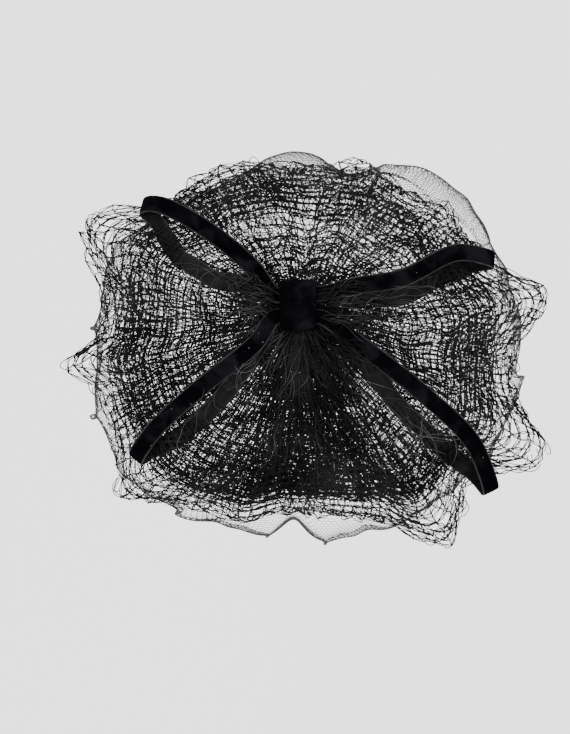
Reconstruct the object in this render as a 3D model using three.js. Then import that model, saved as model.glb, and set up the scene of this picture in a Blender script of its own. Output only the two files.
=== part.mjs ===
// A halo hat of net: a loose dome of fine tulle, a coarse veil gathered over it, and a velvet ribbon bow.
// Millimetres, +Z up and +Y to the front. The origin is where a head's crown bears on the dome's inside.
import * as THREE from 'three';

// The dome of fine tulle. Its hem is a tilted ring, high over the brow and low at the nape.
const CAP = {
  halfWidth: 117,
  halfLength: 117,
  halfHeight: 97,
  wall: 1.4,
  rows: 13,
  hemSweep: 105.5,
  hemTilt: 20.5,
  hemRound: -4.5,
  folds: 19,
  foldHeight: 1.6,
  foldStart: 0.6,
  foldSway: 2,
};
// The coarse veil, spread from the bow. Past the shoulder it leaves the dome and stands out as a ruffle.
// Starts, ends and the shoulder are shares of the way from the bow to the free edge.
const VEIL = {
  wall: 1.2,
  rows: 11,
  gap: 0.85,
  shoulder: 0.72,
  flare: 0.21,
  pleats: 16,
  pleatHeight: 1.5,
  pleatSway: 1.2,
  liftStart: [0.1, 0.4],
  pleatStart: [0.12, 0.4],
  pleatEnd: [0.55, 0.95],
  flutes: 13,
  fluteHeight: 14,
  fluteStart: 0.68,
  fluteGrowth: 1.3,
  fluteSway: 1.6,
  pressed: 0.85,
  firstCutRow: 7,
  lastCutRow: 9,
  meshBorder: 0.2,
};
// The bunched net that runs down the centre back from the bow.
const GATHER = { x: 1, halfWidth: 10, height: 5, from: 20, to: 88, run: 12 };
const COLUMNS = 80;
const BOW_SPOT = { x: -5.6, rise: 20 };
const RIBBON = {
  width: 10,
  rootWidth: 9,
  widen: [0.08, 0.3],
  turnOut: [0.1, 0.4],
  thick: 1.3,
  gap: 0.5,
  steps: 36,
  nearby: 0.01,
};
// How a loop opens, as shares of the way from the knot to its tip. The lower strip leaves the upper one,
// stays low, swings sideways, settles at its own height and meets it again at the tip.
const OPENING = {
  part: [0.1, 0.25],
  widen: [0.12, 0.6],
  narrow: [0.75, 1],
  pinch: 0.8,
  settle: [0.4, 0.8],
  tip: [0.8, 0.97],
  turnBack: [0.42, 0.58],
};
const KNOT = {
  width: 20,
  mouthHeight: 24,
  mouthDepth: 6.2,
  wall: 2.4,
  squareness: 0.36,
  straight: [0, 0.3, 0.6],
  steps: 24,
  tilt: 62,
  gap: 0.42,
};
// The knot's wall across its band, as shares of its half width and of its thickness.
const KNOT_PROFILE = [
  { along: -1, high: 0 }, { along: -1, high: 0.6 }, { along: -0.75, high: 1 }, { along: 0, high: 1.15 },
  { along: 0.75, high: 1 }, { along: 1, high: 0.6 }, { along: 1, high: 0 },
];

// Free edge of the veil about the dome's centre, seen from the bow's side: angle from +X and distance out.
const VEIL_EDGE = [
  { turn: 0, reach: 112 }, { turn: 30, reach: 107 }, { turn: 55, reach: 100 }, { turn: 90, reach: 97 },
  { turn: 112, reach: 107 }, { turn: 130, reach: 111 }, { turn: 152, reach: 116 }, { turn: 180, reach: 113 },
  { turn: 200, reach: 118 }, { turn: 225, reach: 114 }, { turn: 245, reach: 104 }, { turn: 262, reach: 91 },
  { turn: 278, reach: 92 }, { turn: 292, reach: 97 }, { turn: 308, reach: 112 }, { turn: 335, reach: 113 },
];
// Lobes of the ruffle that stand out past that edge.
const VEIL_LOBES = [
  { turn: 12, half: 8, out: 26 },
  { turn: 45, half: 6, out: 6 },
  { turn: 72, half: 7, out: 7 },
  { turn: 151, half: 10, out: 26 },
  { turn: 184, half: 5, out: 19 },
  { turn: 219, half: 7, out: 16 },
  { turn: 304, half: 11, out: 22 },
  { turn: 335, half: 9, out: 30 },
];
// Swellings and dents of the dome's outline, as seen from the bow's side.
const CAP_SWELLS = [
  { turn: 50, half: 16, out: 6 },
  { turn: 77, half: 8, out: -9 },
  { turn: 98, half: 9, out: 2 },
  { turn: 117, half: 11, out: -7 },
  { turn: 155, half: 14, out: 5 },
  { turn: 212, half: 26, out: 10 },
  { turn: 265, half: 6, out: -9 },
  { turn: 338, half: 16, out: 4 },
];
// Where the ribbon loops press the ruffle flat.
const PRESSED = [
  { turn: 139, half: 13 }, { turn: 25, half: 13 }, { turn: 212, half: 13 }, { turn: 322, half: 13 },
];
const HEM_NOTCH = { turn: 265, half: 7, up: 11 };
const HEM_WAVE = { waves: 7, sweep: 1.6 };

// Ribbon loops. Each row of a run is a place on the upper strip: sideways, up, and height above the veil.
// open says how far the lower strip lies from it sideways and up, and its own height above the veil.
// lean turns the velvet's face from straight out of the dome.
const LOOPS = [
  {
    name: 'bow_loop_upper_left', side: -1, seat: 6.3,
    run: [[-31, 44, 19], [-55, 64, 20], [-80, 78, 20], [-92, 80, 18]],
    open: [-2, -24, 10.8], lean: [0, -0.3, 0],
  },
  {
    name: 'bow_loop_upper_right', side: 1, seat: 6.7,
    run: [[24, 33, 15.5], [52, 38, 18], [82, 52, 22], [103, 49, 20]],
    open: [-3, -12, 11.3], lean: [0, -0.3, 0],
  },
  {
    name: 'bow_loop_lower_left', side: -1, seat: -6.8,
    run: [[-29, 2, 15.5], [-60, -23, 17], [-84, -45, 20], [-96, -61, 18]],
    open: [7, -11, 8], lean: [0.1, -0.2, 0],
  },
  {
    name: 'bow_loop_lower_right', side: 1, seat: -6.9,
    run: [[27, 2, 15.5], [62, -25, 18], [90, -52, 22], [102, -79, 19]],
    open: [-12, -9, 9.5], lean: [-0.2, -0.2, 0],
  },
];

const BLACK_TULLE = new THREE.MeshStandardMaterial({ color: 0x3a3a3e, roughness: 0.9, metalness: 0 });
const BLACK_NET = new THREE.MeshStandardMaterial({ color: 0x1a1a1d, roughness: 0.8, metalness: 0 });
const BLACK_VELVET = new THREE.MeshStandardMaterial({ color: 0x08080a, roughness: 1, metalness: 0 });

const SIDE = new THREE.Vector3(1, 0, 0);
const RISE = new THREE.Vector3(0, Math.SQRT1_2, Math.SQRT1_2);
const BACK = new THREE.Vector3(0, -Math.SQRT1_2, Math.SQRT1_2);
const CENTRE = new THREE.Vector3(0, 0, CAP.wall / 2 - CAP.halfHeight);
const RAD = Math.PI / 180;

const smooth = (low, high, value) => THREE.MathUtils.smoothstep(value, low, high);

function degreesApart(a, b) {
  return THREE.MathUtils.euclideanModulo(a - b + 180, 360) - 180;
}

function turnOf(x, rise) {
  return THREE.MathUtils.euclideanModulo(Math.atan2(rise, x) / RAD, 360);
}

function bell(turn, row) {
  return Math.exp(-((degreesApart(turn, row.turn) / row.half) ** 2));
}

function place(x, rise, out) {
  return CENTRE.clone().addScaledVector(SIDE, x).addScaledVector(RISE, rise).addScaledVector(BACK, out);
}

// Smooth closed curve through the rows of a table of turn and reach.
function edgeReach(table, turn) {
  const last = table.length - 1;
  let row = table.findLastIndex((entry) => entry.turn <= turn);
  row = row < 0 ? last : row;
  const next = table[(row + 1) % table.length];
  const span = THREE.MathUtils.euclideanModulo(next.turn - table[row].turn, 360);
  const part = THREE.MathUtils.euclideanModulo(turn - table[row].turn, 360) / span;
  return THREE.MathUtils.lerp(table[row].reach, next.reach, smooth(0, 1, part));
}

// Distance of the dome's wall from its centre along a direction.
function capRadius(way) {
  return 1 / Math.hypot(way.x / CAP.halfWidth, way.y / CAP.halfLength, way.z / CAP.halfHeight);
}

function capOutline(turn) {
  const way = place(Math.cos(turn * RAD), Math.sin(turn * RAD), 0).sub(CENTRE);
  return capRadius(way) + swell(turn);
}

function swell(turn) {
  return CAP_SWELLS.reduce((sum, row) => sum + row.out * bell(turn, row), 0);
}

// Height of the plain dome towards the back, over a point of the plane that faces the bow.
function plainHeight(x, rise) {
  const flat = 1 / CAP.halfLength ** 2;
  const tall = 1 / CAP.halfHeight ** 2;
  const a = (flat + tall) / 2;
  const b = rise * (tall - flat);
  const c = (x / CAP.halfWidth) ** 2 + a * rise ** 2 - 1;
  return (-b + Math.sqrt(Math.max(b * b - 4 * a * c, 0))) / (2 * a);
}

// The same height with the swellings, which grow the dome about its centre.
function capHeight(x, rise) {
  const reach = Math.hypot(x, rise);
  const out = swell(turnOf(x, rise));
  let grow = 1;
  for (let pass = 0; pass < 3; pass += 1) {
    const height = plainHeight(x / grow, rise / grow);
    const length = Math.hypot(reach / grow, height);
    grow = 1 + (out * (reach / grow / length) ** 2) / length;
  }
  return grow * plainHeight(x / grow, rise / grow);
}

// Soft pleats of the veil that start under the bow and die out towards its edge.
function pleat(turn, part) {
  const rise = smooth(...VEIL.pleatStart, part) * (1 - smooth(...VEIL.pleatEnd, part));
  const phase = VEIL.pleats * turn * RAD + VEIL.pleatSway * Math.sin(3 * turn * RAD);
  return rise * VEIL.pleatHeight * Math.sin(phase);
}

function capPoint(turn, part) {
  const notch = HEM_NOTCH.up * bell(turn, HEM_NOTCH);
  const wave = HEM_WAVE.sweep * Math.sin(HEM_WAVE.waves * turn * RAD);
  const tilt = CAP.hemTilt * Math.sin(turn * RAD) + CAP.hemRound * Math.cos(2 * turn * RAD);
  const sweep = part * (CAP.hemSweep + tilt + wave - notch) * RAD;
  const shift = Math.max(Math.cos(sweep), 0) ** 2 / CAP.halfHeight;
  const x = Math.sin(sweep) * Math.cos(turn * RAD) + BOW_SPOT.x * shift;
  const rise = Math.sin(sweep) * Math.sin(turn * RAD) + BOW_SPOT.rise * shift;
  const way = place(x, rise, Math.cos(sweep)).sub(CENTRE).normalize();
  const phase = CAP.folds * turn * RAD + CAP.foldSway * Math.sin(turn * RAD);
  const fold = CAP.foldHeight * smooth(CAP.foldStart, 1, part) * Math.sin(phase);
  const radius = capRadius(way) + swell(turnOf(x, rise)) * Math.sin(sweep) ** 2 + fold;
  return CENTRE.clone().addScaledVector(way, radius);
}

// Height of the veil's middle surface over the same plane, with its bunched centre back.
function veilHeight(x, rise) {
  const reach = Math.hypot(x, rise);
  const edge = capOutline(turnOf(x, rise));
  const away = reach / edge;
  const past = Math.max(away - VEIL.shoulder, 0);
  const held = Math.min(away, VEIL.shoulder) + VEIL.flare * (1 - Math.exp(-past / VEIL.flare));
  const scale = reach > 0 ? held / away : 1;
  const below = BOW_SPOT.rise - rise;
  const along = smooth(GATHER.from - GATHER.run, GATHER.from + GATHER.run, below)
    * (1 - smooth(GATHER.to - GATHER.run, GATHER.to + GATHER.run, below));
  const bunch = GATHER.height * along * Math.exp(-(((x - GATHER.x) / GATHER.halfWidth) ** 2));
  return capHeight(x * scale, rise * scale) + bunch;
}

function veilPoint(turn, part) {
  const lobes = VEIL_LOBES.reduce((sum, row) => sum + row.out * bell(turn, row), 0);
  const reach = (edgeReach(VEIL_EDGE, turn) + lobes) * part;
  const shift = (1 - part) ** 2;
  const x = reach * Math.cos(turn * RAD) + BOW_SPOT.x * shift;
  const rise = reach * Math.sin(turn * RAD) + BOW_SPOT.rise * shift;
  const clear = (CAP.wall + VEIL.wall) / 2 + VEIL.gap;
  const grown = Math.max(part - VEIL.fluteStart, 0) / (1 - VEIL.fluteStart);
  const phase = VEIL.flutes * turn * RAD + VEIL.fluteSway * Math.sin(2 * turn * RAD);
  const free = PRESSED.reduce((product, row) => product * (1 - VEIL.pressed * bell(turn, row)), 1);
  const flute = free * (0.5 + 0.5 * Math.sin(phase)) * grown ** VEIL.fluteGrowth;
  const lift = VEIL.pleatHeight * smooth(...VEIL.liftStart, part) + pleat(turn, part);
  const height = veilHeight(x, rise);
  const away = 1 + (clear + lift) / Math.hypot(x, rise, height);
  return place(x * away, rise * away, height * away + VEIL.fluteHeight * flute);
}

function addQuad(faces, a, b, c, d) {
  faces.push([a, b, c], [a, c, d]);
}

function meshFrom(name, faces, material) {
  const geometry = new THREE.BufferGeometry();
  const numbers = faces.flatMap((face) => face.flatMap((corner) => corner.toArray()));
  geometry.setAttribute('position', new THREE.Float32BufferAttribute(numbers, 3));
  geometry.computeVertexNormals();
  const mesh = new THREE.Mesh(geometry, material);
  mesh.name = name;
  return mesh;
}

// A closed cloth shell on a polar grid: row 0 is one point under the bow and the last row is the free edge.
function clothShell(rows, wall, pointAt, isCut) {
  const grid = [];
  for (let row = 0; row <= rows; row += 1) {
    grid.push([]);
    for (let col = 0; col < COLUMNS; col += 1) {
      grid[row].push(pointAt((col * 360) / COLUMNS, row / rows));
    }
  }
  const normalAt = (row, col) => {
    const upper = grid[Math.min(row + 1, rows)][col];
    const lower = grid[Math.max(row - 1, 0)][col];
    const next = grid[Math.max(row, 1)][(col + 1) % COLUMNS];
    const last = grid[Math.max(row, 1)][(col + COLUMNS - 1) % COLUMNS];
    return upper.clone().sub(lower).cross(next.clone().sub(last)).normalize();
  };
  const top = new THREE.Vector3();
  for (let col = 0; col < COLUMNS; col += 1) {
    top.add(normalAt(1, col));
  }
  top.normalize();
  const skin = (half) => grid.map((line, row) => line.map((point, col) => (
    point.clone().addScaledVector(row === 0 ? top : normalAt(row, col), half))));
  const outer = skin(wall / 2);
  const inner = skin(-wall / 2);
  const faces = [];
  for (let col = 0; col < COLUMNS; col += 1) {
    const next = (col + 1) % COLUMNS;
    faces.push([outer[0][0], outer[1][col], outer[1][next]], [inner[0][0], inner[1][next], inner[1][col]]);
    addQuad(faces, outer[rows][col], inner[rows][col], inner[rows][next], outer[rows][next]);
    for (let row = 1; row < rows; row += 1) {
      const over = [outer[row][col], outer[row + 1][col], outer[row + 1][next], outer[row][next]];
      const under = [inner[row][col], inner[row + 1][col], inner[row + 1][next], inner[row][next]];
      if (isCut(row, col)) {
        cutCell(faces, over, under);
      } else {
        addQuad(faces, ...over);
        addQuad(faces, ...under.toReversed());
      }
    }
  }
  return faces;
}

// A cell of the shell with a gap through it.
function cutCell(faces, over, under) {
  const inset = (cell) => {
    const middle = cell.reduce((sum, corner) => sum.add(corner), new THREE.Vector3()).divideScalar(4);
    return cell.map((corner) => corner.clone().lerp(middle, 2 * VEIL.meshBorder));
  };
  const rimOver = inset(over);
  const rimUnder = inset(under);
  for (let side = 0; side < 4; side += 1) {
    const next = (side + 1) % 4;
    addQuad(faces, over[side], over[next], rimOver[next], rimOver[side]);
    addQuad(faces, under[next], under[side], rimUnder[side], rimUnder[next]);
    addQuad(faces, rimOver[side], rimOver[next], rimUnder[next], rimUnder[side]);
  }
}

function bowFrame() {
  const out = new THREE.Vector3(0, -Math.cos(KNOT.tilt * RAD), Math.sin(KNOT.tilt * RAD));
  const rise = new THREE.Vector3(0, Math.sin(KNOT.tilt * RAD), Math.cos(KNOT.tilt * RAD));
  const seat = veilPoint(0, 0);
  const crown = KNOT.wall * Math.max(...KNOT_PROFILE.map((row) => row.high));
  const lift = VEIL.wall / 2 + KNOT.gap + crown + KNOT.mouthDepth / 2;
  return { out, rise, middle: seat.addScaledVector(out, lift) };
}

// Centre line of one ribbon loop: out along the upper strip, round the tip and back along the lower one.
// The spine runs in x, rise and height above the veil. Both strips face the way their shared spine does.
function loopPath(loop, frame) {
  const root = frame.middle.clone().addScaledVector(frame.rise, loop.seat).addScaledVector(SIDE, loop.side);
  const [x, rise, out] = [SIDE, RISE, BACK].map((axis) => root.clone().sub(CENTRE).dot(axis));
  const inside = KNOT.straight.map((part) => x + loop.side * KNOT.width * part)
    .map((across) => new THREE.Vector3(across, rise, out - veilHeight(across, rise)));
  const upper = loop.run.map((row) => new THREE.Vector3(...row));
  const spine = new THREE.CatmullRomCurve3([...inside, ...upper], false, 'centripetal');
  const onVeil = ({ x: across, y: up, z: high }) => place(across, up, veilHeight(across, up) + high);
  const strip = RIBBON.thick + RIBBON.gap;
  return Array.from({ length: RIBBON.steps + 1 }, (_, step) => {
    const part = Math.sin((Math.PI * step) / RIBBON.steps) ** 2;
    const lower = smooth(...OPENING.turnBack, step / RIBBON.steps);
    const wide = smooth(...OPENING.widen, part) * (1 - OPENING.pinch * smooth(...OPENING.narrow, part));
    const spot = spine.getPointAt(part);
    const ahead = spine.getPointAt(Math.min(part + RIBBON.nearby, 1));
    const behind = spine.getPointAt(Math.max(part - RIBBON.nearby, 0));
    const way = onVeil(ahead).sub(onVeil(behind)).normalize();
    const face = onVeil(spot).sub(CENTRE).normalize();
    const free = smooth(...OPENING.part, part);
    const below = spine.getPointAt(Math.min(part, OPENING.part[0])).z - (strip * free) / 2;
    spot.x += loop.open[0] * wide * lower;
    spot.y += loop.open[1] * wide * lower;
    const settled = THREE.MathUtils.lerp(below, loop.open[2], smooth(...OPENING.settle, part));
    spot.z = THREE.MathUtils.lerp(spot.z, settled, lower);
    const apart = strip * (0.5 - lower) * (1 - free);
    return { point: onVeil(spot).addScaledVector(frame.out, apart), way, face, part };
  });
}

function ribbonLoop(loop, frame) {
  const path = loopPath(loop, frame);
  const lean = place(...loop.lean).sub(CENTRE);
  const rings = path.map(({ point, way, face, part }, step) => {
    const before = path[Math.max(step - 1, 0)].point;
    const after = path[Math.min(step + 1, path.length - 1)].point;
    const run = after.clone().sub(before).normalize();
    const look = frame.out.clone().lerp(face.add(lean), smooth(...RIBBON.turnOut, part)).normalize();
    const across = way.clone().cross(look).normalize();
    const square = 1 - smooth(...OPENING.tip, part);
    across.addScaledVector(run, -square * across.dot(run)).normalize();
    const widened = smooth(...RIBBON.widen, part);
    const half = THREE.MathUtils.lerp(RIBBON.rootWidth, RIBBON.width, widened) / 2;
    const up = across.clone().cross(run).normalize().multiplyScalar(RIBBON.thick / 2);
    return [[-1, 1], [1, 1], [1, -1], [-1, -1]].map(([wide, high]) => (
      point.clone().addScaledVector(across, wide * half).addScaledVector(up, high)));
  });
  const faces = [];
  for (let step = 0; step < rings.length - 1; step += 1) {
    for (let side = 0; side < 4; side += 1) {
      const next = (side + 1) % 4;
      addQuad(faces, rings[step][side], rings[step][next], rings[step + 1][next], rings[step + 1][side]);
    }
  }
  addQuad(faces, ...rings[0].toReversed());
  addQuad(faces, ...rings.at(-1));
  return meshFrom(loop.name, faces, BLACK_VELVET);
}

// The knot is a crowned band of folded ribbon that runs round the four loop ends.
function bowKnot(frame) {
  const rings = Array.from({ length: KNOT.steps }, (_, step) => {
    const turn = (2 * Math.PI * step) / KNOT.steps;
    const round = (value) => Math.sign(value) * Math.abs(value) ** KNOT.squareness;
    const out = new THREE.Vector3().addScaledVector(frame.out, round(Math.cos(turn)) * KNOT.mouthDepth / 2);
    const rise = frame.rise.clone().multiplyScalar(round(Math.sin(turn)) * KNOT.mouthHeight / 2);
    const way = frame.out.clone().multiplyScalar(Math.cos(turn)).addScaledVector(frame.rise, Math.sin(turn));
    return KNOT_PROFILE.map(({ along, high }) => frame.middle.clone().add(out).add(rise)
      .addScaledVector(SIDE, (along * KNOT.width) / 2).addScaledVector(way, high * KNOT.wall));
  });
  const faces = [];
  rings.forEach((ring, step) => {
    const following = rings[(step + 1) % rings.length];
    ring.forEach((corner, side) => {
      const next = (side + 1) % ring.length;
      addQuad(faces, corner, ring[next], following[next], following[side]);
    });
  });
  return meshFrom('bow_knot', faces, BLACK_VELVET);
}

// The veil's gaps lie in a chequer near its free edge.
const isVeilGap = (row, col) => row >= VEIL.firstCutRow && row <= VEIL.lastCutRow && (row + col) % 2 === 0;

const hat = new THREE.Group();
hat.add(meshFrom('tulle_cap', clothShell(CAP.rows, CAP.wall, capPoint, () => false), BLACK_TULLE));
hat.add(meshFrom('coarse_veil', clothShell(VEIL.rows, VEIL.wall, veilPoint, isVeilGap), BLACK_NET));
const bow = bowFrame();
LOOPS.forEach((loop) => hat.add(ribbonLoop(loop, bow)));
hat.add(bowKnot(bow));

export default hat;
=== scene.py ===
"""Looks of a halo hat of black net: tulle dome, gathered coarse veil and velvet ribbon bow.

Lengths are millimetres about the dome's centre until place() turns them into the frame's metres.
A spot on the hat is given as x (to the wearer's right), rise (up the back) and out (towards the bow).
"""

import math

import bpy
import numpy as np
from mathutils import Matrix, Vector


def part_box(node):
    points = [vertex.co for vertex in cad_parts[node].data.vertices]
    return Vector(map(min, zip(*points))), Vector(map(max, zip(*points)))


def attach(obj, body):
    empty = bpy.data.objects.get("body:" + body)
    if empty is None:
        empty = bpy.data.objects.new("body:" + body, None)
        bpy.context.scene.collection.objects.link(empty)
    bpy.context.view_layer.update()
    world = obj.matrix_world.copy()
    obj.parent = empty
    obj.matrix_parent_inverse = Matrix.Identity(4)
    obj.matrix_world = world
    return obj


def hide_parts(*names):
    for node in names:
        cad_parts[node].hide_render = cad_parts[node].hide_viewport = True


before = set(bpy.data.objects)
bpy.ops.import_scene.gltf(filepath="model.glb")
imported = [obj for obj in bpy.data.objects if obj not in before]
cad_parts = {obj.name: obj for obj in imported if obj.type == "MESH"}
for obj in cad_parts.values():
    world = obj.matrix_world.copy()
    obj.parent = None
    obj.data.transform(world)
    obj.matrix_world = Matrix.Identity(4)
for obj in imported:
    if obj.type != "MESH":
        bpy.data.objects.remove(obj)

bl_info = {
    "name": "Veiled halo hat",
    "version": (1, 0, 0),
    "blender": (4, 5, 0),
    "location": "3D View > Sidebar > Halo hat",
    "description": "Models and dresses a halo hat of tulle, coarse net and velvet ribbon",
    "category": "Add Mesh",
}

MM = 0.001
SLOPE = math.sqrt(0.5)
SIDE = np.array((1.0, 0.0, 0.0))
RISE = np.array((0.0, SLOPE, SLOPE))
BACK = np.array((0.0, -SLOPE, SLOPE))

# The dome, as in the frame: half sizes, wall, and the sweep from the bow's side down to its hem.
HALF_WIDTH, HALF_LENGTH, HALF_HEIGHT, CAP_WALL = 117.0, 117.0, 97.0, 1.4
HEM_SWEEP, HEM_TILT, HEM_ROUND = 105.5, 20.5, -4.5
HEM_WAVES, HEM_WAVE_SWEEP = 7, 1.6
NOTCH_TURN, NOTCH_HALF, NOTCH_UP = 265.0, 7.0, 11.0
CENTRE = np.array((0.0, 0.0, (CAP_WALL / 2 - HALF_HEIGHT) * MM))
BOW_X, BOW_RISE = -5.6, 20.0

# Swellings and dents of the dome's outline: turn in degrees, half width in degrees, and how far out.
CAP_SWELLS = (
    (50, 16, 6), (77, 8, -9), (98, 9, 2), (117, 11, -7),
    (155, 14, 5), (212, 26, 10), (265, 6, -9), (338, 16, 4),
)

# Free edge of the veil: turn in degrees and reach from the dome's centre.
VEIL_EDGE = (
    (0, 112), (30, 107), (55, 100), (90, 97), (112, 107), (130, 111), (152, 116), (180, 113),
    (200, 118), (225, 114), (245, 104), (262, 91), (278, 92), (292, 97), (308, 112), (335, 113),
)
# Lobes of the ruffle past that edge: turn, half width, how far out.
VEIL_LOBES = (
    (12, 8, 26), (45, 6, 6), (72, 7, 7), (151, 10, 26),
    (184, 5, 19), (219, 7, 16), (304, 11, 22), (335, 9, 30),
)
VEIL_WALL, VEIL_GAP = 1.2, 0.85
SHOULDER, FLARE = 0.72, 0.21
FLUTES, FLUTE_HEIGHT, FLUTE_START, FLUTE_GROWTH, FLUTE_SWAY = 13, 14.0, 0.68, 1.3, 1.6
PLEATS, PLEAT_HEIGHT, PLEAT_SWAY = 16, 1.5, 1.2
LIFT_START, PLEAT_START, PLEAT_END = (0.1, 0.4), (0.12, 0.4), (0.55, 0.95)
PRESSED_TURNS = (139, 25, 212, 322)
PRESSED_HALF, PRESSED_SHARE = 13.0, 0.85
# The bunched centre back: side place, half width, height, start and end below the bow, and run-in.
GATHER_X, GATHER_HALF, GATHER_HEIGHT = 1.0, 10.0, 5.0
GATHER_FROM, GATHER_TO, GATHER_RUN = 20.0, 88.0, 12.0


# How many waves add up to the unevenness of the tulle and the net.
WOBBLES = 6


def rows(columns, table):
    """A table's rows as dictionaries by its columns' names."""
    return tuple(dict(zip(columns, row)) for row in table)


# Layers of the coarse net. Twist and slide are degrees, length is a share of the veil's, and lobes is how
# far the layer follows the ruffle's lobes. bare is how much of it is missing above the bow. only keeps the
# net about a turn, with its half width in degrees.
LAYER_COLUMNS = (
    "name", "lines", "rings", "lift", "twist", "length", "lobes",
    "ruffles", "slide", "curl", "phase", "seed", "bare", "only",
)
NET_LAYERS = rows(LAYER_COLUMNS, (
    ("net_under", 114, 24, 0.6, 9, 0.975, 1.0, 13, 1.5, 3.0, 0.4, 11, 0.2, None),
    ("net_middle", 120, 25, 2.0, -30, 0.95, 0.75, 11, 2.2, 5.0, 2.1, 23, 0.7, None),
    ("net_upper", 120, 25, 3.4, 38, 0.85, 0.2, 9, 2.6, 5.0, 4.0, 37, 0.85, None),
))
# Finer, tighter folds of the same net that lie under those layers and give it its depth.
GROUND_LAYERS = rows(LAYER_COLUMNS, (
    ("ground_lower", 380, 76, 1.0, -16, 0.84, 0.2, 6, 2.0, 3.0, 2.6, 83, 1.0, (268, 95)),
    ("ground_left", 420, 88, 1.3, 4, 0.9, 0.2, 7, 1.0, 3.0, 1.2, 41, 1.0, (190, 46)),
    ("ground_right", 420, 84, 1.3, -34, 0.88, 0.2, 8, 1.6, 3.0, 3.2, 53, 1.0, (350, 50)),
    ("ground_top", 150, 26, 2.4, 12, 0.93, 0.4, 10, 2.4, 4.0, 0.2, 89, 0.8, (112, 42)),
    ("ground_thin", 170, 18, 1.8, 20, 0.9, 0.4, 6, 3.4, 3.0, 3.9, 101, 0.3, (84, 60)),
    ("ground_back", 500, 96, 2.6, 6, 0.86, 0.0, 15, 1.8, 3.0, 5.2, 67, 1.0, (266, 44)),
    ("ground_bunch", 560, 100, 4.4, -9, 0.8, 0.0, 19, 1.6, 2.0, 0.9, 71, 1.0, (270, 28)),
))
# Loose threads over the net: middle turn and share of the way out with their half ranges, how many, half
# length, how high their middle rises, and how far they stray from pointing at the knot. Those of the free
# edge are loops that lie on the lowest layer.
ZONE_COLUMNS = ("turn", "spread", "part", "reach", "count", "length", "rise", "stray")
STRAYS = rows(ZONE_COLUMNS, (
    (92, 46, 0.42, 0.32, 150, 34, 3, 1.6),
    (92, 70, 0.8, 0.12, 60, 16, 5, 1.6),
    (268, 50, 0.6, 0.25, 80, 18, 5, 1.6),
    (40, 30, 0.6, 0.3, 60, 20, 4, 1.0),
    (0, 180, 0.88, 0.08, 110, 11, 5, 1.6),
    (20, 26, 0.27, 0.07, 80, 14, 13, 0.5),
    (150, 20, 0.27, 0.07, 60, 14, 13, 0.5),
    (310, 30, 0.25, 0.05, 50, 13, 12, 0.5),
))
EDGE_STRAYS = rows(ZONE_COLUMNS, (
    (0, 180, 0.99, 0.03, 170, 4.6, 1, 0.35),
))
# The loose threads with a painted highlight, a lighter colour that stands in for the light they catch, over
# the ribbons' lower strips and round the knot.
PAINTED_HIGHLIGHT_STRAYS = rows(ZONE_COLUMNS, (
    (148, 9, 0.45, 0.2, 22, 16, 13, 1.6),
    (322, 7, 0.6, 0.25, 14, 18, 12, 1.0),
    (214, 7, 0.5, 0.25, 8, 14, 11, 1.0),
    (22, 7, 0.55, 0.25, 8, 14, 12, 1.0),
    (270, 150, 0.2, 0.1, 80, 15, 3, 0.4),
    (15, 30, 0.26, 0.07, 24, 13, 14, 0.6),
    (155, 22, 0.26, 0.07, 24, 13, 14, 0.6),
    (300, 90, 0.5, 0.25, 60, 20, 4, 0.5),
))

LOOPS = (
    {"name": "bow_loop_upper_left", "side": -1, "seat": 6.3,
     "run": ((-31, 44, 19), (-55, 64, 20), (-80, 78, 20), (-92, 80, 18)),
     "open": (-2, -24, 10.8), "lean": (0, -0.3, 0)},
    {"name": "bow_loop_upper_right", "side": 1, "seat": 6.7,
     "run": ((24, 33, 15.5), (52, 38, 18), (82, 52, 22), (103, 49, 20)),
     "open": (-3, -12, 11.3), "lean": (0, -0.3, 0)},
    {"name": "bow_loop_lower_left", "side": -1, "seat": -6.8,
     "run": ((-29, 2, 15.5), (-60, -23, 17), (-84, -45, 20), (-96, -61, 18)),
     "open": (7, -11, 8), "lean": (0.1, -0.2, 0)},
    {"name": "bow_loop_lower_right", "side": 1, "seat": -6.9,
     "run": ((27, 2, 15.5), (62, -25, 18), (90, -52, 22), (102, -79, 19)),
     "open": (-12, -9, 9.5), "lean": (-0.2, -0.2, 0)},
)
# How a loop opens, as shares of the way from the knot to its tip.
LEAVE, WIDEN, NARROW, PINCH = (0.1, 0.25), (0.12, 0.6), (0.75, 1.0), 0.8
SETTLE, TIP, TURN_BACK = (0.4, 0.8), (0.8, 0.97), (0.42, 0.58)
RIBBON_WIDTH, ROOT_WIDTH, RIBBON_THICK, STRIP_GAP = 10.0, 9.0, 1.3, 0.5
TURN_OUT = (0.1, 0.4)
KNOT_WIDTH, MOUTH_HEIGHT, MOUTH_DEPTH, KNOT_WALL = 20.0, 24.0, 6.2, 2.4
KNOT_SQUARENESS, KNOT_TILT, KNOT_GAP = 0.36, 62.0, 0.42
KNOT_STRAIGHT = (0.0, 0.3, 0.6)
# The wall's thickness at the middle of the knot's band, its fall to the sides and at the edges, as shares.
KNOT_CROWN, KNOT_FALL, KNOT_EDGE = 1.15, 0.15, 0.5


def place(spot):
    """Frame place in metres of spots given as x, rise and out."""
    spot = np.asarray(spot, float)
    return CENTRE + MM * (spot[..., :1] * SIDE + spot[..., 1:2] * RISE + spot[..., 2:3] * BACK)


def unit(vectors):
    return vectors / np.maximum(np.linalg.norm(vectors, axis=-1, keepdims=True), 1e-12)


def smooth(low, high, value):
    part = np.clip((value - low) / (high - low), 0, 1)
    return part * part * (3 - 2 * part)


def bell(turn, at, half):
    apart = (turn - at + 180) % 360 - 180
    return np.exp(-((apart / half) ** 2))


def turn_of(x, rise):
    return np.degrees(np.arctan2(rise, x)) % 360


def swell(turn):
    return sum(out * bell(turn, at, half) for at, half, out in CAP_SWELLS)


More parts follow.
